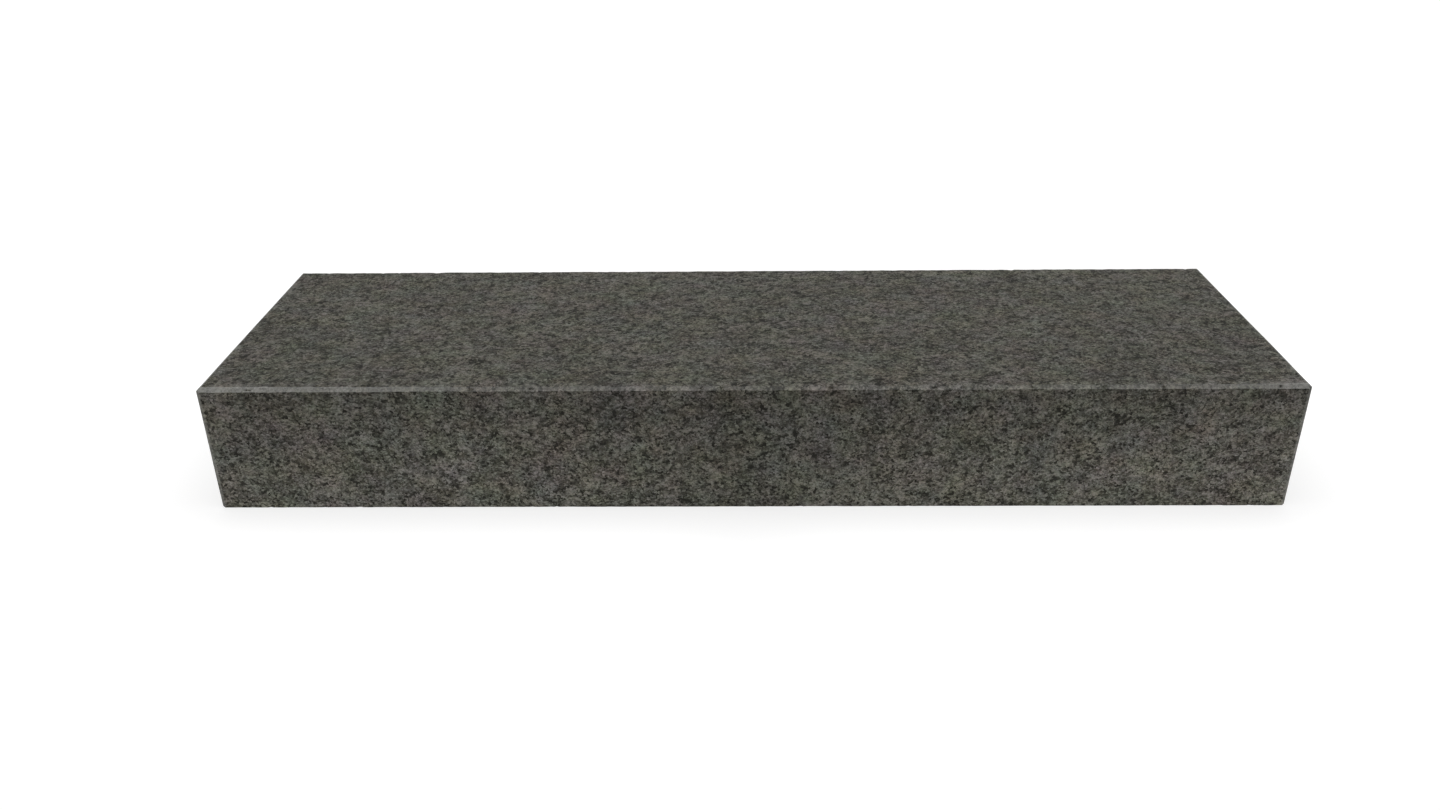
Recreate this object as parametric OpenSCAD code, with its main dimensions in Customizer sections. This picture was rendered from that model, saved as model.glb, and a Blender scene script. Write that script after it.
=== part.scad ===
// Block step: one solid block of dark granite, sawn to size, that makes one tread
// and one riser of an outdoor stair.
//
// The tread, the riser and both ends show in the finished stair, so the arrises
// between them are ground off at 45 degrees. The underside beds on concrete or on
// the step below, and the back butts against the step above, so their arrises stay
// as the saw left them.
//
// X runs along the stair's width, the riser looks to -Y and the tread to +Z. The
// origin is the centre of the underside.

/* [Block] */
// Length of the block, along the width of the stair
block_length = 1200; // [500:50:2000]
// Depth of the block, from riser to back
block_depth = 350; // [300:10:450]
// Height of the block, which is the rise of the stair
block_height = 150; // [120:5:200]

/* [Arrises] */
// Leg of the chamfer on the nosing, between tread and riser
nosing_chamfer = 4; // [2:0.5:12]
// Leg of the chamfers between the tread and the two ends
tread_end_chamfer = 4; // [2:0.5:12]
// Leg of the upright chamfers between the riser and the two ends
riser_end_chamfer = 4; // [2:0.5:12]

/* [Hidden] */
riser_y = -block_depth / 2;
back_y = block_depth / 2;
end_x = block_length / 2;

// Outline seen from an end: X here runs from riser to back, and Y is up.
module end_outline() {
    polygon([
        [riser_y, 0],
        [back_y, 0],
        [back_y, block_height],
        [riser_y + nosing_chamfer, block_height],
        [riser_y, block_height - nosing_chamfer]
    ]);
}

// Outline seen from the front: X runs along the stair, and Y is up.
module riser_outline() {
    polygon([
        [-end_x, 0],
        [end_x, 0],
        [end_x, block_height - tread_end_chamfer],
        [end_x - tread_end_chamfer, block_height],
        [-end_x + tread_end_chamfer, block_height],
        [-end_x, block_height - tread_end_chamfer]
    ]);
}

// Outline seen from above: X runs along the stair, and Y from riser to back.
module tread_outline() {
    polygon([
        [-end_x + riser_end_chamfer, riser_y],
        [end_x - riser_end_chamfer, riser_y],
        [end_x, riser_y + riser_end_chamfer],
        [end_x, back_y],
        [-end_x, back_y],
        [-end_x, riser_y + riser_end_chamfer]
    ]);
}

// The three outlines, each run through the whole block, leave only the stone that
// lies in all of them, so their chamfers mitre where they meet at a corner.
module block_step() {
    color("#52514d")
    intersection() {
        translate([-end_x, 0, 0])
            rotate([90, 0, 90])
                linear_extrude(height = block_length) end_outline();
        translate([0, back_y, 0])
            rotate([90, 0, 0])
                linear_extrude(height = block_depth) riser_outline();
        linear_extrude(height = block_height) tread_outline();
    }
}

block_step();
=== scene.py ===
"""A block step of dark granite on a pale studio floor.

The block is one piece of stone. Its tread, riser and ends are flamed, the arrises
between them are ground, and its back and underside are left as the saw cut them.
"""

import math
import random

import bpy
import numpy as np
from mathutils import Matrix, Vector, geometry, noise


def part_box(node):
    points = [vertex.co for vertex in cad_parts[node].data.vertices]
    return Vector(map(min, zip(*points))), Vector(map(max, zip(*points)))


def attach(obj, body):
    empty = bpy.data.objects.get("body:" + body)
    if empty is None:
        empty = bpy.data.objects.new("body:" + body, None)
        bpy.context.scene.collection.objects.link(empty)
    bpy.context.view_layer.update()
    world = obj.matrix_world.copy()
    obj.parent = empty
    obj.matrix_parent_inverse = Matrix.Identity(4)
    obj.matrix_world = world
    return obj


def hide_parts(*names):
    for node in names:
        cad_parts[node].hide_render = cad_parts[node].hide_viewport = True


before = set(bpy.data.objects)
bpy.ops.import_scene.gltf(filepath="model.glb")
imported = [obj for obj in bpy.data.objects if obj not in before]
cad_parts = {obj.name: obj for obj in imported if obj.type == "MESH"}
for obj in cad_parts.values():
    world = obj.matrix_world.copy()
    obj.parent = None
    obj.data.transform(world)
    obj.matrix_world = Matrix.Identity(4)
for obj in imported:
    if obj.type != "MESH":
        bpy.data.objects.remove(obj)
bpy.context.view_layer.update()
MM = 0.001


# ------------------------------------------------------------------ the sawn block
# A diamond saw cuts the block out of a slab of granite, which leaves six flat faces
# that meet at sharp edges. The faces to be flamed are closely gridded here, so that
# they can take relief. The back and the underside stay flat, with large triangles.
OPEN_PITCH = 3.1 * MM  # grid on the open face, below the size of a flamed hollow
EDGE_BAND = 7 * MM  # strip beside an edge that is gridded more closely
ARRIS_PITCH = 1 * MM  # grid in that strip where the edge is ground to an arris
SAWN_EDGE_PITCH = 1.75 * MM  # and where it is left as sawn
SAWN_PITCH = 12 * MM  # points inside a sawn face
WELD = 0.01 * MM  # points of neighbouring faces that are nearer than this are one
SPECK = 1e-7  # metres, nearer than which two points of a triangulated face are one

low = np.array(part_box("block_step")[0])
high = np.array(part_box("block_step")[1])
length = high[0] - low[0]


def even_places(start, end, pitch):
    """Places from start to end, as near to pitch apart as fits."""
    return np.linspace(start, end, max(1, round((end - start) / pitch)) + 1)


def grid_places(start, end, start_pitch, end_pitch):
    """Places from start to end, closer together in the strips beside both edges."""
    return np.unique(
        np.concatenate(
            [
                even_places(start, start + EDGE_BAND, start_pitch),
                even_places(start + EDGE_BAND, end - EDGE_BAND, OPEN_PITCH),
                even_places(end - EDGE_BAND, end, end_pitch),
            ]
        )
    )


PLACES = [
    grid_places(low[0], high[0], ARRIS_PITCH, ARRIS_PITCH),
    grid_places(low[1], high[1], ARRIS_PITCH, SAWN_EDGE_PITCH),
    grid_places(low[2], high[2], SAWN_EDGE_PITCH, ARRIS_PITCH),
]


def gridded_face(axis, level):
    """Points and quads of a face at one level of an axis, on the block's own grid."""
    side_a, side_b = (i for i in range(3) if i != axis)
    a, b = np.meshgrid(PLACES[side_a], PLACES[side_b], indexing="ij")
    spots = np.empty((a.size, 3))
    spots[:, axis] = level
    spots[:, side_a] = a.ravel()
    spots[:, side_b] = b.ravel()
    index = np.arange(a.size).reshape(a.shape)
    corners = (index[:-1, :-1], index[1:, :-1], index[1:, 1:], index[:-1, 1:])
    return spots, np.stack([c.ravel() for c in corners], axis=1).tolist()


def flat_face(axis, level):
    """Points and triangles of a flat face that meets its neighbours' grids at its rim."""
    side_a, side_b = (i for i in range(3) if i != axis)
    a, b = PLACES[side_a], PLACES[side_b]
    rim = [(x, b[0]) for x in a[:-1]] + [(a[-1], y) for y in b[:-1]]
    rim += [(x, b[-1]) for x in a[:0:-1]] + [(a[0], y) for y in b[:0:-1]]
    inner_a = even_places(a[0], a[-1], SAWN_PITCH)[1:-1]
    inner_b = even_places(b[0], b[-1], SAWN_PITCH)[1:-1]
    flat = [Vector(p) for p in rim]
    flat += [Vector((x, y)) for x in inner_a for y in inner_b]
    edges = [(i, (i + 1) % len(rim)) for i in range(len(rim))]
    flat, _, triangles, *_ = geometry.delaunay_2d_cdt(flat, edges, [], 0, SPECK)
    spots = np.empty((len(flat), 3))
    spots[:, axis] = level
    spots[:, (side_a, side_b)] = np.array(flat)
    return spots, triangles


FLAMED, SAWN = 0, 1
FACES = {  # each face's axis, the end of that axis it is at, and its finish
    "tread": (2, 1, FLAMED),
    "riser": (1, 0, FLAMED),
    "left_end": (0, 0, FLAMED),
    "right_end": (0, 1, FLAMED),
    "back": (1, 1, SAWN),
    "underside": (2, 0, SAWN),
}
points, polygons, face_of_polygon = [], [], []
for number, (axis, end, finish) in enumerate(FACES.values()):
    build = gridded_face if finish == FLAMED else flat_face
    new_points, new_polygons = build(axis, (low, high)[end][axis])
    p, q, r = (new_points[i] for i in new_polygons[0][:3])
    if (np.cross(q - p, r - q)[axis] > 0) != bool(end):
        new_polygons = [polygon[::-1] for polygon in new_polygons]
    first = sum(len(p) for p in points)
    points.append(new_points)
    polygons += [[first + i for i in polygon] for polygon in new_polygons]
    face_of_polygon += [number] * len(new_polygons)
face_of_polygon = np.array(face_of_polygon)

keys = np.round(np.concatenate(points) / WELD).astype(int)
keys, welded = np.unique(keys, axis=0, return_inverse=True)
sawn_stone = keys * WELD
polygons = [[int(welded[i]) for i in polygon] for polygon in polygons]


# ------------------------------------------------------------------ flaming
# A gas flame is drawn over the wet stone, and the surface grains burst off it. What
# is left is a rough, slip-proof skin of shallow hollows, lower than the sawn face.
HOLLOWS = [  # distance between hollows, and how far they go below and above the mean
    (31 * MM, 0.3 * MM),
    (12.5 * MM, 0.3 * MM),
    (7 * MM, 0.22 * MM),
]
FLAMED_AWAY = 0.35 * MM  # mean depth of stone that the flame takes off


def flamed_depth(p):
    """How deep the flamed skin lies below the sawn face at p."""
    waves = sum(rise * noise.noise(p / size) for size, rise in HOLLOWS)
    return max(0.0, FLAMED_AWAY + waves)


depths = np.array([flamed_depth(Vector(p)) for p in sawn_stone])
stone = sawn_stone.copy()
for axis, end, finish in FACES.values():
    if finish == FLAMED:
        level = (low, high)[end][axis]
        on_face = np.abs(sawn_stone[:, axis] - level) < WELD
        stone[on_face, axis] += depths[on_face] * (-1 if end else 1)


# ------------------------------------------------------------------ ground arrises
# The edges that feet and hands meet are run over with a grinding cup, which leaves
# flat strips. Where the cup is set down and lifted they are deeper and smoother, and
# in between it skips over the burst grains and only touches the skin beside them.
PRESSED = [  # mm from the left end, and how hard the cup is pressed there
    (0, 1.0),
    (60, 0.88),
    (100, 0.75),
    (210, 0.6),
    (330, 0.2),
    (560, 0.12),
    (650, 0.0),
    (740, 0.05),
    (1000, 0.15),
    (1140, 0.45),
    (1200, 0.85),
]
EASED = [(15, 1.0), (200, 0.4), (350, 0.6)]  # mm from the riser, and the share kept there
EXTRA_GRIND = 0.1 * MM  # stone taken below the nominal arris, along its run
END_GRIND = 0.3 * MM  # and this much more where the cup is pressed hard
HAND_SHAKE = 0.2 * MM  # how far the hand strays from that depth
SHAKE_LENGTH = 70 * MM
SCUFF_REACH = 9 * MM  # how far beside an arris the cup may still touch
HEART = 20 * MM  # the stone is cut towards a smaller box, this far inside the block
UPRIGHT_SHARE = 0.25  # the riser's upright arrises are ground so lightly
SQUARE_ON = 0.99  # a face whose normal lies this much along one axis is no arris


def pressed_at(p):
    """How hard the cup is pressed at p, from 0 to 1."""
    along, inward = (np.array(p[:2]) - low[:2]) / MM
    return float(np.interp(along, *zip(*PRESSED)) * np.interp(inward, *zip(*EASED)))


def ground_depth(p):
    """How far below the nominal arris the cup has gone at p."""
    return EXTRA_GRIND + HAND_SHAKE * noise.noise(p / SHAKE_LENGTH) + END_GRIND * pressed_at(p)


arrises = {}
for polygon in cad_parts["block_step"].data.polygons:
    normal = np.array(polygon.normal)
    if np.abs(normal).max() < SQUARE_ON:
        arrises[tuple(np.round(normal, 3))] = float(normal @ np.array(polygon.center))

pressure = np.array([pressed_at(p) for p in stone])
above_arris = np.full(len(stone), -SCUFF_REACH)
across_arris = np.zeros(len(stone))  # 0 on an arris' upper border, 1 on its lower border
ground_share = np.zeros(len(stone))
inward = np.clip(stone, low + HEART, high - HEART) - stone
cut = np.zeros(len(stone))
for normal, distance in arrises.items():
    unit = np.array(normal) / np.linalg.norm(normal)
    near = np.flatnonzero(stone @ unit > distance - SCUFF_REACH)
    taken = np.array([ground_depth(Vector(stone[i])) for i in near])
    over = stone[near] @ unit - (distance - taken)
    cut[near] = np.maximum(cut[near], over / -(inward[near] @ unit))
    level_arris = unit[2] > 0
    edge_over = float(np.where(unit > 0, high, low) @ unit) - distance
    half = np.clip(over / edge_over, 0, 1) / 2
    below_edge = level_arris & (sawn_stone[near, 2] < high[2] - WELD)
    nearest = over > above_arris[near]
    across_arris[near[nearest]] = np.where(below_edge, 1 - half, half)[nearest]
    ground_share[near[nearest]] = 1.0 if level_arris else UPRIGHT_SHARE
    above_arris[near] = np.maximum(above_arris[near], over)
stone += cut[:, None] * inward


# ------------------------------------------------------------------ chips
# Sawing and handling knock small flakes off the edges. Each flake leaves a shallow,
# shell-shaped hollow, longer along the edge than it is deep.
CHIP_SEED = 7
CHIPS_A_METRE = 11
CHIP_LENGTH = (2.5 * MM, 7 * MM)
CHIP_DEPTH = (0.5 * MM, 1.3 * MM)
CHIP_RADIUS = 1.1  # of its hollow across the edge, as a share of half the chip's length
CHIP_STRETCH = 1.6  # and along the edge
CHIP_PLACES = (0.01, 0.99)  # shares of an edge between which chips lie
CHIP_REACH = 8.4 * MM  # only points this near to an edge can be in a chip

draw = random.Random(CHIP_SEED)
chipped = np.zeros(len(stone))
for axis in range(3):
    side_a, side_b = (i for i in range(3) if i != axis)
    for end_a in (0, 1):
        for end_b in (0, 1):
            edge = np.array(low)
            edge[side_a] = (low, high)[end_a][side_a]
            edge[side_b] = (low, high)[end_b][side_b]
            outward = np.zeros(3)
            outward[side_a] = 1 if end_a else -1
            outward[side_b] = 1 if end_b else -1
            outward /= math.sqrt(2)
            run = (high - low)[axis]
            from_edge = np.abs(sawn_stone - edge)[:, (side_a, side_b)]
            close = np.flatnonzero((from_edge < CHIP_REACH).all(axis=1))
            crest = (stone[close] @ outward).max()
            for _ in range(round(run * CHIPS_A_METRE)):
                half = draw.uniform(*CHIP_LENGTH) / 2
                bite = draw.uniform(*CHIP_DEPTH)
                radius = half * CHIP_RADIUS
                middle = edge.copy()
                middle[axis] = low[axis] + draw.uniform(*CHIP_PLACES) * run
                middle += outward * (crest - edge @ outward + radius - bite)
                shell = np.full(3, radius)
                shell[axis] = half * CHIP_STRETCH
                away = (stone[close] - middle) / shell
                far = np.linalg.norm(away, axis=1)
                inside = far < 1
                stone[close[inside]] = middle + away[inside] / far[inside, None] * shell
                chipped[close[inside]] = 1

# The foot of the right front edge has been knocked off, this far along its three edges.
KNOCK = np.array([-3.2, 4.0, 6.0]) * MM
foot = np.array([high[0], low[1], low[2]]) + KNOCK * np.eye(3)
knock_normal = np.cross(foot[1] - foot[0], foot[2] - foot[0])
knock_normal *= np.sign(knock_normal[0]) / np.linalg.norm(knock_normal)
beyond = (stone - foot[0]) @ knock_normal
hit = beyond > 0
stone[hit] -= beyond[hit, None] * knock_normal
chipped[hit] = 1


# ------------------------------------------------------------------ the block
# All of that goes into one mesh. What the grinder and the knocks did is kept on its
# points, for the finishes to read.
SHARP = math.radians(32)  # faces that meet at more than this have a sharp edge

block_mesh = bpy.data.meshes.new("granite_block")
block_mesh.from_pydata(stone.tolist(), [], polygons)
finish_of_face = np.array([finish for _, _, finish in FACES.values()])
block_mesh.polygons.foreach_set("material_index", finish_of_face[face_of_polygon])
block_mesh.polygons.foreach_set("use_smooth", np.ones(len(polygons), bool))
block_mesh.set_sharp_from_angle(angle=SHARP)
marks = {
    "above_arris_mm": above_arris / MM,
    "across_arris": across_arris,
    "ground_share": ground_share,
    "pressure": pressure,
    "chipped": chipped,
}
for name, values in marks.items():
    mark = block_mesh.attributes.new(name, "FLOAT", "POINT")
    mark.data.foreach_set("value", values.astype(np.float32))
block = bpy.data.objects.new("granite_block", block_mesh)
bpy.context.scene.collection.objects.link(block)

# The faces are laid out one above another like an opened carton, all at one scale.
SHEET = 1024  # texels on each side of the square sheet
GAP = 8  # texels between faces
ROWS = [["underside"], ["tread"], ["riser"], ["back"], ["left_end", "right_end"]]
TEXELS = (SHEET - GAP) / length  # to the metre

loops = np.empty(len(block_mesh.loops), dtype=np.int32)
block_mesh.loops.foreach_get("vertex_index", loops)
face_of_loop = np.repeat(face_of_polygon, [len(polygon) for polygon in polygons])
layout = np.zeros((len(loops), 2))
row_start = GAP / 2
for row in ROWS:
    start = GAP / 2
    for name in row:
        axis, end, _ = FACES[name]
        side_a, side_b = (i for i in range(3) if i != axis)
        here = face_of_loop == list(FACES).index(name)
        spots = (sawn_stone[loops[here]] - low) * TEXELS
        wide, tall = (high - low)[[side_a, side_b]] * TEXELS
        mirrored = (end == 1) == (axis == 1)
        layout[here, 0] = start + (wide - spots[:, side_a] if mirrored else spots[:, side_a])
        layout[here, 1] = row_start + spots[:, side_b]
        start += wide + GAP
    row_start += tall + GAP
sheet = block_mesh.uv_layers.new(name="OFBake")
sheet.data.foreach_set("uv", (layout / SHEET).astype(np.float32).ravel())

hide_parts("block_step")
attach(block, "root")


# ------------------------------------------------------------------ the stone
# A dark granite: grey feldspar and quartz with black mica and pyroxene, locked
# together in grains of 1 to 5 mm, so it looks like salt and pepper. The upright
# faces keep a thin film of stone flour, which greys them a little.
SQUEEZE = (1000, 1120, 1200)  # metres to mm, with the grains drawn out along the block
GRAIN = 3.0  # mm, between the middles of the large grains
CRUMB = 1.5  # mm, between the middles of the small grains
CLUSTER = 11  # mm, between places where the dark minerals crowd
CLOUD = 75  # mm, between lighter and darker parts of the stone
SHARES = (0.25, 0.32, 0.25, 0.18)  # of grain, crumb, cluster and cloud in the lightness
BLOTCH = 38  # mm, between lighter and darker blotches on the upright faces
BLOTCH_SHARE = 0.14  # and of them in the lightness there
CURL = 2.6  # mm, size of the bends in the grains' outlines
CURL_REACH = 4.0  # mm, how far a bend can push an outline
FELDSPAR = [  # lightness of a spot, and the colour of the feldspar and quartz there
    (0.2, "#292821"),
    (0.38, "#3f3d35"),
    (0.5, "#585751"),
    (0.62, "#6f6d64"),
    (0.8, "#84827a"),
]
MICA = "#14130c"
MICA_FROM, MICA_TO = 0.42, 0.02  # the lower a grain's random number, the more of it is mica
MICA_CROWD = 1.0  # how much the clusters decide where the mica lies
KNOT = 80  # mm, between knots where more of the stone is mica
KNOT_EDGE, KNOT_HEART = 0.15, 0.05  # as shares of that distance
KNOT_CURL = 0.4  # how much the clusters bend a knot's outline
KNOT_CROWD = 0.3  # how much more of the stone is mica in a knot
FLOUR = "#56554f"
FLOUR_SHARE = 0.05  # of the colour of an upright face
LEVEL, UPRIGHT = 0.9, 0.3  # upward part of a normal at which a face counts as one and the other
TINT = 45  # mm, between pinker and greener parts of the feldspar
TINT_REACH = (0.34, 0.32, 0.44)  # how far red, green and blue may stray
TINT_ROUGHNESS = 0.7  # how strong the finer layers of that noise are
LEAN = 0.9  # the planes along which the grains break slope up to half of this, either way
STEP = 0.1  # mm from the highest broken grain to the deepest
PIT = 1.3  # mm, size of the pits in them
PIT_DEPTH = 0.3  # mm
SMOOTH, UNEVEN, RAGGED = 1.0, 2.0, 3.0  # how many finer layers of noise a pattern has
MEAN = 0.5  # of a noise or a random number


def linear(code):
    """An sRGB hex colour as the linear colour that a shader wants."""
    parts = [int(code[i : i + 2], 16) / 255 for i in (1, 3, 5)]
    return (*[c / 12.92 if c < 0.04045 else ((c + 0.055) / 1.055) ** 2.4 for c in parts], 1)


def add(tree, kind, inputs=(), **settings):
    """Adds a node with its settings, and gives each named input a value or a link."""
    made = tree.nodes.new(kind)
    for name, value in settings.items():
        setattr(made, name, value)
    for name, value in dict(inputs).items():
        if isinstance(value, bpy.types.NodeSocket):
            tree.links.new(value, made.inputs[name])
        else:
            made.inputs[name].default_value = value
    return made


minerals = bpy.data.node_groups.new("granite_minerals", "ShaderNodeTree")
tree = minerals
tree.interface.new_socket("Colour", in_out="OUTPUT", socket_type="NodeSocketColor")
tree.interface.new_socket("Relief", in_out="OUTPUT", socket_type="NodeSocketFloat")
tree.interface.new_socket("Chance", in_out="OUTPUT", socket_type="NodeSocketFloat")
place = add(tree, "ShaderNodeTexCoord")
in_mm = add(
    tree, "ShaderNodeVectorMath", {0: place.outputs["Object"], 1: SQUEEZE}, operation="MULTIPLY"
).outputs[0]

# Grains: cells of two sizes, with their outlines bent.
curl = add(
    tree, "ShaderNodeTexNoise", {"Vector": in_mm, "Scale": 1 / CURL, "Detail": SMOOTH}
).outputs["Color"]
curl = add(tree, "ShaderNodeVectorMath", {0: curl, 1: (MEAN,) * 3}, operation="SUBTRACT").outputs[0]
bent = add(
    tree, "ShaderNodeVectorMath", {0: curl, 1: (CURL_REACH,) * 3, 2: in_mm}, operation="MULTIPLY_ADD"
).outputs[0]
cell = add(tree, "ShaderNodeTexVoronoi", {"Vector": bent, "Scale": 1 / GRAIN})
grain = add(tree, "ShaderNodeSeparateColor", {"Color": cell.outputs["Color"]})
crumb = add(tree, "ShaderNodeTexVoronoi", {"Vector": bent, "Scale": 1 / CRUMB}).outputs["Color"]
crumb = add(tree, "ShaderNodeSeparateColor", {"Color": crumb})

# Feldspar and quartz: lighter and darker by grain, crumb, cluster and cloud.
cluster = add(
    tree, "ShaderNodeTexNoise", {"Vector": in_mm, "Scale": 1 / CLUSTER, "Detail": SMOOTH}
).outputs["Fac"]
cloud = add(
    tree, "ShaderNodeTexNoise", {"Vector": in_mm, "Scale": 1 / CLOUD, "Detail": UNEVEN}
).outputs["Fac"]
lightness = 0.0
for layer, share in zip((grain.outputs[0], crumb.outputs[0], cluster, cloud), SHARES):
    lightness = add(
        tree, "ShaderNodeMath", {0: layer, 1: share, 2: lightness}, operation="MULTIPLY_ADD"
    ).outputs[0]
facing = add(tree, "ShaderNodeSeparateXYZ", {"Vector": place.outputs["Normal"]}).outputs["Z"]
upright = add(
    tree, "ShaderNodeMapRange", {"Value": facing, "From Min": LEVEL, "From Max": UPRIGHT}
).outputs[0]
blotch = add(
    tree, "ShaderNodeTexNoise", {"Vector": in_mm, "Scale": 1 / BLOTCH, "Detail": UNEVEN}
).outputs["Fac"]
blotch = add(tree, "ShaderNodeMath", {0: blotch, 1: MEAN}, operation="SUBTRACT").outputs[0]
blotch = add(tree, "ShaderNodeMath", {0: blotch, 1: upright}, operation="MULTIPLY").outputs[0]
lightness = add(
    tree, "ShaderNodeMath", {0: blotch, 1: BLOTCH_SHARE, 2: lightness}, operation="MULTIPLY_ADD"
).outputs[0]
feldspar = add(tree, "ShaderNodeValToRGB", {"Fac": lightness})
while len(feldspar.color_ramp.elements) < len(FELDSPAR):
    feldspar.color_ramp.elements.new(0.5)
for element, (at, code) in zip(feldspar.color_ramp.elements, FELDSPAR):
    element.position = at
    element.color = linear(code)

# Mica and pyroxene: some grains are dark with it and some half dark, and there are more
# of them in the clusters and the knots.
crowd = add(tree, "ShaderNodeMath", {0: cluster, 1: MEAN}, operation="SUBTRACT").outputs[0]
chance = add(
    tree, "ShaderNodeMath", {0: crowd, 1: MICA_CROWD, 2: grain.outputs[1]}, operation="MULTIPLY_ADD"
).outputs[0]
knot = add(tree, "ShaderNodeTexVoronoi", {"Vector": bent, "Scale": 1 / KNOT}).outputs["Distance"]
knot = add(tree, "ShaderNodeMath", {0: crowd, 1: KNOT_CURL, 2: knot}, operation="MULTIPLY_ADD").outputs[0]
knot = add(
    tree, "ShaderNodeMapRange", {"Value": knot, "From Min": KNOT_EDGE, "From Max": KNOT_HEART}
).outputs[0]
chance = add(
    tree, "ShaderNodeMath", {0: knot, 1: -KNOT_CROWD, 2: chance}, operation="MULTIPLY_ADD"
).outputs[0]
dark = add(
    tree, "ShaderNodeMapRange", {"Value": chance, "From Min": MICA_FROM, "From Max": MICA_TO}
).outputs[0]
grains = add(
    tree,
    "ShaderNodeMix",
    {"Factor": dark, 6: feldspar.outputs["Color"], 7: linear(MICA)},
    data_type="RGBA",
).outputs[2]

# The film of stone flour on the upright faces.
film = add(tree, "ShaderNodeMath", {0: upright, 1: FLOUR_SHARE}, operation="MULTIPLY").outputs[0]
grains = add(
    tree, "ShaderNodeMix", {"Factor": film, 6: grains, 7: linear(FLOUR)}, data_type="RGBA"
).outputs[2]

# Tint: the feldspar drifts between pinkish and greenish.
tint = add(
    tree,
    "ShaderNodeTexNoise",
    {"Vector": in_mm, "Scale": 1 / TINT, "Detail": RAGGED, "Roughness": TINT_ROUGHNESS},
).outputs["Color"]
tint = add(
    tree,
    "ShaderNodeVectorMath",
    {0: tint, 1: TINT_REACH, 2: tuple(1 - reach / 2 for reach in TINT_REACH)},
    operation="MULTIPLY_ADD",
).outputs[0]
colour = add(tree, "ShaderNodeVectorMath", {0: grains, 1: tint}, operation="MULTIPLY").outputs[0]

# Relief, in mm: each grain breaks at its own depth, along a plane that leans its own
# way, and its floor is pitted.
pits = add(
    tree, "ShaderNodeTexNoise", {"Vector": in_mm, "Scale": 1 / PIT, "Detail": UNEVEN}
).outputs["Fac"]
relief = add(tree, "ShaderNodeMath", {0: pits, 1: PIT_DEPTH}, operation="MULTIPLY").outputs[0]
relief = add(
    tree, "ShaderNodeMath", {0: grain.outputs[2], 1: STEP, 2: relief}, operation="MULTIPLY_ADD"
).outputs[0]
lean = add(
    tree, "ShaderNodeVectorMath", {0: cell.outputs["Color"], 1: (MEAN,) * 3}, operation="SUBTRACT"
).outputs[0]
from_middle = add(
    tree, "ShaderNodeVectorMath", {0: bent, 1: cell.outputs["Position"]}, operation="SUBTRACT"
).outputs[0]
plane = add(tree, "ShaderNodeVectorMath", {0: from_middle, 1: lean}, operation="DOT_PRODUCT")
relief = add(
    tree, "ShaderNodeMath", {0: plane.outputs["Value"], 1: LEAN, 2: relief}, operation="MULTIPLY_ADD"
).outputs[0]
add(tree, "NodeGroupOutput", {"Colour": colour, "Relief": relief, "Chance": crumb.outputs[1]})


# ------------------------------------------------------------------ flamed finish
# Granite burst by a flame: its broken grains scatter light like coarse sugar, so it is
# matt. Where the arrises are ground, fine scratches and stone dust make it paler and a
# little smoother, and a painted highlight makes each arris paler still towards its lower border.
GRANITE_IOR = 1.5
BURST_ROUGHNESS = 0.85
BURST_SPECULAR = 0.2  # a burst skin traps light, so it shines less than its IOR gives
SMOOTHED = 0.25  # how much less rough the ground stone is
GROUND_FLAT = 0.7  # share of the burst relief that the grinding takes off
STONE_DUST = "#a2a29e"
DUST, DUST_PRESSED = 0.12, 0.5  # share of dust in a lightly ground arris, and more where pressed
DUST_UNEVEN = 0.4  # how unevenly the grains hold it
GROUND_GAIN_AND_HIGHLIGHT = (1.08, 1.45)  # times the grains' own lightness, at the upper and lower border: paler from grinding, and the rise between them a painted highlight
HIGHLIGHT_FROM, HIGHLIGHT_TO = 0.2, 0.9  # shares of the arris' width between which the painted highlight rises
SCUFF = 1.1  # mm by which the cup's touch spreads up over the tread
SKIPPED = 1.8  # mm by which it falls short at a low grain
TOUCH_FROM, TOUCH_TO = -0.05, 0.2  # mm that the cup goes into the stone, from missed to ground
PATCH = 16  # mm, between places beside the arris that are scuffed
PATCH_FROM, PATCH_TO = 0.48, 0.62  # of the noise, from untouched to scuffed
PATCH_SHARE = 0.45  # how near a scuff comes to ground stone
PATCH_NEAR = -1.0  # mm from the cup's plane, nearer than which they are at their strongest

flamed = bpy.data.materials.new("flamed_granite")
flamed.use_nodes = True
tree = flamed.node_tree
tree.nodes.clear()
stone_here = add(tree, "ShaderNodeGroup", node_tree=minerals)
above = add(tree, "ShaderNodeAttribute", attribute_name="above_arris_mm").outputs["Fac"]
across = add(tree, "ShaderNodeAttribute", attribute_name="across_arris").outputs["Fac"]
share = add(tree, "ShaderNodeAttribute", attribute_name="ground_share").outputs["Fac"]
pressed = add(tree, "ShaderNodeAttribute", attribute_name="pressure").outputs["Fac"]
chips = add(tree, "ShaderNodeAttribute", attribute_name="chipped").outputs["Fac"]
place = add(tree, "ShaderNodeTexCoord")
in_mm = add(
    tree, "ShaderNodeVectorMath", {0: place.outputs["Object"], "Scale": 1 / MM}, operation="SCALE"
).outputs[0]

# Where the cup has touched: all of the arris, and ragged patches of the skin above it.
upper = add(tree, "ShaderNodeMath", {0: 1.0, 1: across}, operation="SUBTRACT").outputs[0]
light_touch = add(tree, "ShaderNodeMath", {0: 1.0, 1: pressed}, operation="SUBTRACT").outputs[0]
missed = add(
    tree, "ShaderNodeMath", {0: light_touch, 1: stone_here.outputs["Chance"]}, operation="MULTIPLY"
).outputs[0]
spread = add(
    tree, "ShaderNodeMath", {0: missed, 1: -SKIPPED, 2: SCUFF}, operation="MULTIPLY_ADD"
).outputs[0]
spread = add(
    tree, "ShaderNodeMath", {0: spread, 1: upper, 2: above}, operation="MULTIPLY_ADD"
).outputs[0]
touched = add(
    tree,
    "ShaderNodeMapRange",
    {"Value": spread, "From Min": TOUCH_FROM, "From Max": TOUCH_TO},
    interpolation_type="SMOOTHSTEP",
).outputs[0]
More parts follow.
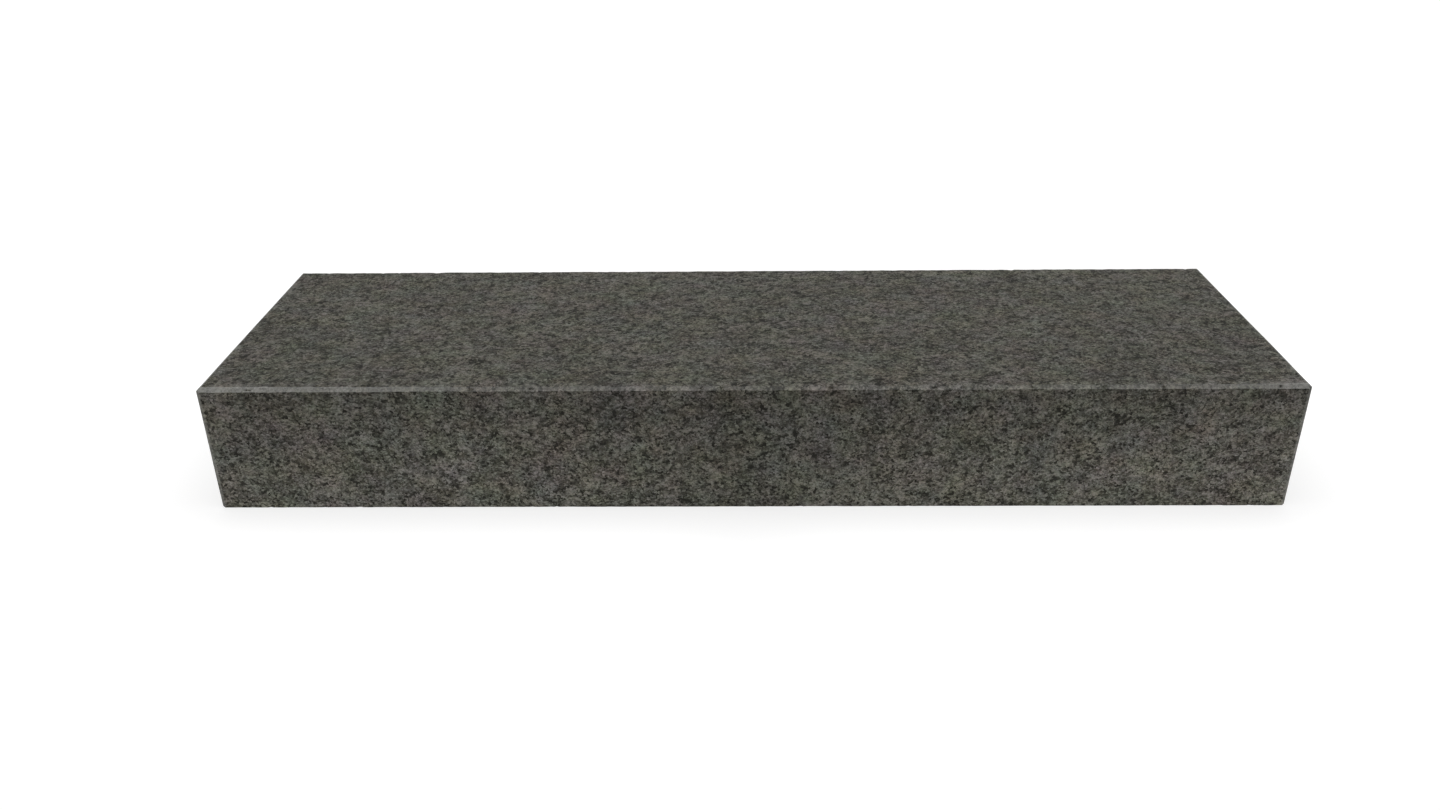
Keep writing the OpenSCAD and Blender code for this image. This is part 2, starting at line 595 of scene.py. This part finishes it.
patch = add(
    tree, "ShaderNodeTexNoise", {"Vector": in_mm, "Scale": 1 / PATCH, "Detail": RAGGED}
).outputs["Fac"]
patch = add(
    tree,
    "ShaderNodeMapRange",
    {"Value": patch, "From Min": PATCH_FROM, "From Max": PATCH_TO, "To Max": PATCH_SHARE},
).outputs[0]
beside = add(
    tree,
    "ShaderNodeMapRange",
    {"Value": above, "From Min": -SCUFF_REACH / MM, "From Max": PATCH_NEAR},
).outputs[0]
patch = add(tree, "ShaderNodeMath", {0: patch, 1: beside}, operation="MULTIPLY").outputs[0]
patch = add(tree, "ShaderNodeMath", {0: patch, 1: upper}, operation="MULTIPLY").outputs[0]
touched = add(tree, "ShaderNodeMath", {0: touched, 1: patch}, operation="MAXIMUM").outputs[0]
whole = add(tree, "ShaderNodeMath", {0: 1.0, 1: chips}, operation="SUBTRACT").outputs[0]
whole = add(tree, "ShaderNodeMath", {0: whole, 1: share}, operation="MULTIPLY").outputs[0]
touched = add(tree, "ShaderNodeMath", {0: touched, 1: whole}, operation="MULTIPLY").outputs[0]

# The ground stone: paler from grinding and dust, and paler still towards its lower border, which is a
# painted highlight.
gain = add(
    tree,
    "ShaderNodeMapRange",
    {
        "Value": across,
        "From Min": HIGHLIGHT_FROM,
        "From Max": HIGHLIGHT_TO,
        "To Min": GROUND_GAIN_AND_HIGHLIGHT[0],
        "To Max": GROUND_GAIN_AND_HIGHLIGHT[1],
    },
).outputs[0]
paler = add(
    tree, "ShaderNodeVectorMath", {0: stone_here.outputs["Colour"], "Scale": gain}, operation="SCALE"
).outputs[0]
dusty = add(
    tree, "ShaderNodeMath", {0: pressed, 1: DUST_PRESSED, 2: DUST}, operation="MULTIPLY_ADD"
).outputs[0]
held = add(
    tree,
    "ShaderNodeMapRange",
    {"Value": stone_here.outputs["Chance"], "To Min": 1 - DUST_UNEVEN, "To Max": 1 + DUST_UNEVEN},
).outputs[0]
dusty = add(tree, "ShaderNodeMath", {0: dusty, 1: held}, operation="MULTIPLY").outputs[0]
ground = add(
    tree, "ShaderNodeMix", {"Factor": dusty, 6: paler, 7: linear(STONE_DUST)}, data_type="RGBA"
).outputs[2]

# Both together.
skin = add(
    tree,
    "ShaderNodeMix",
    {"Factor": touched, 6: stone_here.outputs["Colour"], 7: ground},
    data_type="RGBA",
).outputs[2]
rough = add(
    tree, "ShaderNodeMath", {0: touched, 1: -SMOOTHED, 2: BURST_ROUGHNESS}, operation="MULTIPLY_ADD"
).outputs[0]
flat = add(
    tree, "ShaderNodeMath", {0: touched, 1: -GROUND_FLAT, 2: 1.0}, operation="MULTIPLY_ADD"
).outputs[0]
bump = add(
    tree, "ShaderNodeBump", {"Height": stone_here.outputs["Relief"], "Distance": MM, "Strength": flat}
).outputs[0]
shader = add(
    tree,
    "ShaderNodeBsdfPrincipled",
    {
        "Base Color": skin,
        "Roughness": rough,
        "IOR": GRANITE_IOR,
        "Specular IOR Level": BURST_SPECULAR,
        "Normal": bump,
    },
)
add(tree, "ShaderNodeOutputMaterial", {"Surface": shader.outputs[0]})
block_mesh.materials.append(flamed)


# ------------------------------------------------------------------ sawn finish
# Granite as a diamond blade leaves it: smoother than the flamed faces, with its grains
# cut clean across, a little softer to the eye from fine scratches, and barred by arcs.
SAWN_ROUGHNESS = 0.6
SAWN_SPECULAR = 0.4
BLADE_RADIUS = 900  # mm
BLADE_BELOW = 300  # mm, from the block down to the height at which the arcs stand upright
FEED = 8  # mm from arc to arc, where 1 to 2 would be too fine to show
FEED_SHAKE = 9  # mm by which an arc strays
SHAKE = 40  # mm, how fast it strays
FADE = 55  # mm, between places where the arcs show and where they are lost
FADE_FROM, FADE_TO = 0.38, 0.6  # of the noise, from lost to plain
ARC_DEPTH = 0.1 * MM
ARC_STRENGTH = 0.8  # share of that depth which shows
ARC_CONTRAST = 0.22  # how far an arc lightens and darkens the stone
SAWN_GAIN = 0.9  # a cut grain is darker than a burst one, which is full of fine cracks
SAWN_DUST = 0.07  # share of stone dust left in the scratches

sawn = bpy.data.materials.new("sawn_granite")
sawn.use_nodes = True
tree = sawn.node_tree
tree.nodes.clear()
stone_here = add(tree, "ShaderNodeGroup", node_tree=minerals)
place = add(tree, "ShaderNodeTexCoord")
in_mm = add(
    tree, "ShaderNodeVectorMath", {0: place.outputs["Object"], "Scale": 1 / MM}, operation="SCALE"
).outputs[0]
along = add(tree, "ShaderNodeSeparateXYZ", {"Vector": in_mm}).outputs["X"]
rise = add(
    tree,
    "ShaderNodeVectorMath",
    {0: in_mm, 1: (0, 1, 1), 2: (0, BLADE_BELOW, BLADE_BELOW)},
    operation="MULTIPLY_ADD",
).outputs[0]
bow = add(tree, "ShaderNodeVectorMath", {0: rise, 1: rise}, operation="DOT_PRODUCT").outputs["Value"]
shake = add(
    tree, "ShaderNodeTexNoise", {"Vector": in_mm, "Scale": 1 / SHAKE, "Detail": RAGGED}
).outputs["Fac"]
arc = add(
    tree, "ShaderNodeMath", {0: bow, 1: 0.5 / BLADE_RADIUS, 2: along}, operation="MULTIPLY_ADD"
).outputs[0]
arc = add(tree, "ShaderNodeMath", {0: shake, 1: FEED_SHAKE, 2: arc}, operation="MULTIPLY_ADD").outputs[0]
arc = add(tree, "ShaderNodeMath", {0: arc, 1: math.tau / FEED}, operation="MULTIPLY").outputs[0]
arc = add(tree, "ShaderNodeMath", {0: arc}, operation="SINE").outputs[0]
faint = add(
    tree, "ShaderNodeTexNoise", {"Vector": in_mm, "Scale": 1 / FADE, "Detail": UNEVEN}
).outputs["Fac"]
faint = add(
    tree, "ShaderNodeMapRange", {"Value": faint, "From Min": FADE_FROM, "From Max": FADE_TO}
).outputs[0]
arc = add(tree, "ShaderNodeMath", {0: arc, 1: faint}, operation="MULTIPLY").outputs[0]
gain = add(
    tree, "ShaderNodeMath", {0: arc, 1: ARC_CONTRAST, 2: SAWN_GAIN}, operation="MULTIPLY_ADD"
).outputs[0]
paler = add(
    tree, "ShaderNodeVectorMath", {0: stone_here.outputs["Colour"], "Scale": gain}, operation="SCALE"
).outputs[0]
clean_cut = add(
    tree, "ShaderNodeMix", {"Factor": SAWN_DUST, 6: paler, 7: linear(STONE_DUST)}, data_type="RGBA"
).outputs[2]
bump = add(
    tree, "ShaderNodeBump", {"Height": arc, "Distance": ARC_DEPTH, "Strength": ARC_STRENGTH}
).outputs[0]
shader = add(
    tree,
    "ShaderNodeBsdfPrincipled",
    {
        "Base Color": clean_cut,
        "Roughness": SAWN_ROUGHNESS,
        "IOR": GRANITE_IOR,
        "Specular IOR Level": SAWN_SPECULAR,
        "Normal": bump,
    },
)
add(tree, "ShaderNodeOutputMaterial", {"Surface": shader.outputs[0]})
block_mesh.materials.append(sawn)


# ------------------------------------------------------------------ floor
# A sheet of white paper, rolled out far past the view on every side. It takes the
# block's shadow, and for the camera it glows with painted light, weakest near the block
# and further away as white as the backdrop.
FLOOR_SIZE = 30.0  # metres
PAPER = "#b4b4b4"
GLOW_NEAR, GLOW_FAR = 0.66, 1.0  # how brightly it glows for the camera, as painted light
GLOW_FROM, GLOW_TO = 1.0, 3.5  # metres from the block


def seen_in(tree):
    """1 where the camera sees the surface, straight, mirrored or through glass, and 0 elsewhere."""
    path = add(tree, "ShaderNodeLightPath")
    seen = path.outputs["Is Camera Ray"]
    for kind in ("Is Glossy Ray", "Is Transmission Ray"):
        seen = add(tree, "ShaderNodeMath", {0: seen, 1: path.outputs[kind]}, operation="MAXIMUM")
        seen = seen.outputs[0]
    return seen


half_floor = FLOOR_SIZE / 2
floor_corners = [(-1, -1), (1, -1), (1, 1), (-1, 1)]
floor_mesh = bpy.data.meshes.new("studio_floor")
floor_points = [(x * half_floor, y * half_floor, low[2]) for x, y in floor_corners]
floor_mesh.from_pydata(floor_points, [], [(0, 1, 2, 3)])
floor = bpy.data.objects.new("studio_floor", floor_mesh)
bpy.context.scene.collection.objects.link(floor)
paper = bpy.data.materials.new("white_paper")
paper.use_nodes = True
tree = paper.node_tree
tree.nodes.clear()
place = add(tree, "ShaderNodeTexCoord").outputs["Object"]
away = add(tree, "ShaderNodeVectorMath", {0: place}, operation="LENGTH").outputs["Value"]
strength = add(
    tree,
    "ShaderNodeMapRange",
    {"Value": away, "From Min": GLOW_FROM, "From Max": GLOW_TO, "To Min": GLOW_NEAR, "To Max": GLOW_FAR},
    interpolation_type="SMOOTHSTEP",
).outputs[0]
matt = add(tree, "ShaderNodeBsdfDiffuse", {"Color": linear(PAPER)})
glow = add(tree, "ShaderNodeEmission", {"Color": (1, 1, 1, 1), "Strength": strength})
lit = add(tree, "ShaderNodeAddShader", {0: matt.outputs[0], 1: glow.outputs[0]})
mixed = add(tree, "ShaderNodeMixShader", {0: seen_in(tree), 1: matt.outputs[0], 2: lit.outputs[0]})
add(tree, "ShaderNodeOutputMaterial", {"Surface": mixed.outputs[0]})
floor_mesh.materials.append(paper)


# ------------------------------------------------------------------ light
# An even white room and a large softbox overhead. Long low lamps on all four sides
# lift the foot of each upright face, as white cards lying on the floor would.
ROOM_STRENGTH = 0.5  # of the light that falls on the block from all round
BACKDROP_STRENGTH = 1.0  # and of the white that the camera sees
FRONT_CARD, OTHER_CARD = 0.135, 0.18  # metres from the block to a card
CARD_HEIGHT = 0.02  # metres
CARD_MIDDLE = 0.011  # metres above the floor
CARD_AIM = 0.02  # height on the block that a card faces
CARDS = {  # place and target on the floor plan, length in metres, and watts
    "front_left_card": ((-0.46, low[1] - FRONT_CARD), (-0.46, low[1]), 0.82, 0.4),
    "front_right_card": ((0.46, low[1] - FRONT_CARD), (0.46, low[1]), 0.82, 0.4),
    "left_card": ((low[0] - OTHER_CARD, 0), (low[0], 0), 0.4, 0.1),
    "right_card": ((high[0] + OTHER_CARD, 0), (high[0], 0), 0.4, 0.1),
    "back_card": ((0, high[1] + OTHER_CARD), (0, high[1]), 1.3, 0.4),
}
SOFTBOXES = {  # place, target, width and height in metres, and watts
    "overhead_softbox": ((0, 0.35, 2.4), (0, 0.35, 0.1), 2.6, 1.8, 29),
}
for name, (spot, target, wide, watts) in CARDS.items():
    SOFTBOXES[name] = ((*spot, CARD_MIDDLE), (*target, CARD_AIM), wide, CARD_HEIGHT, watts)

world = bpy.data.worlds.new("studio")
bpy.context.scene.world = world
world.use_nodes = True
tree = world.node_tree
tree.nodes.clear()
room = add(tree, "ShaderNodeBackground", {"Color": (1, 1, 1, 1), "Strength": ROOM_STRENGTH})
backdrop = add(tree, "ShaderNodeBackground", {"Color": (1, 1, 1, 1), "Strength": BACKDROP_STRENGTH})
mixed = add(
    tree, "ShaderNodeMixShader", {0: seen_in(tree), 1: room.outputs[0], 2: backdrop.outputs[0]}
)
add(tree, "ShaderNodeOutputWorld", {"Surface": mixed.outputs[0]})

for name, (spot, target, wide, tall, watts) in SOFTBOXES.items():
    lamp = bpy.data.lights.new(name, "AREA")
    lamp.shape = "RECTANGLE"
    lamp.size = wide
    lamp.size_y = tall
    lamp.energy = watts
    softbox = bpy.data.objects.new(name, lamp)
    bpy.context.scene.collection.objects.link(softbox)
    softbox.location = spot
    softbox.rotation_euler = (Vector(target) - Vector(spot)).to_track_quat("-Z", "Y").to_euler()
    softbox.visible_camera = False


# ------------------------------------------------------------------ camera
# A wide lens on a full-frame sensor, held in front of the step and above it at hip
# height, and turned a little to one side.
EYE = (-0.0129, -1.3045, 0.7098)
LENS, SENSOR = 29.452, 36.0  # mm
PITCH, ROLL, YAW = (math.radians(a) for a in (27.211, -0.656, -0.987))

camera_data = bpy.data.cameras.new("camera")
camera_data.sensor_width = SENSOR
camera_data.lens = LENS
camera = bpy.data.objects.new("camera", camera_data)
bpy.context.scene.collection.objects.link(camera)
camera.location = EYE
turned = Matrix.Rotation(-YAW, 3, "Z") @ Matrix.Rotation(math.pi / 2 - PITCH, 3, "X")
camera.rotation_euler = (turned @ Matrix.Rotation(ROLL, 3, "Z")).to_euler()
bpy.context.scene.camera = camera
bpy.context.scene.view_settings.view_transform = "Standard"
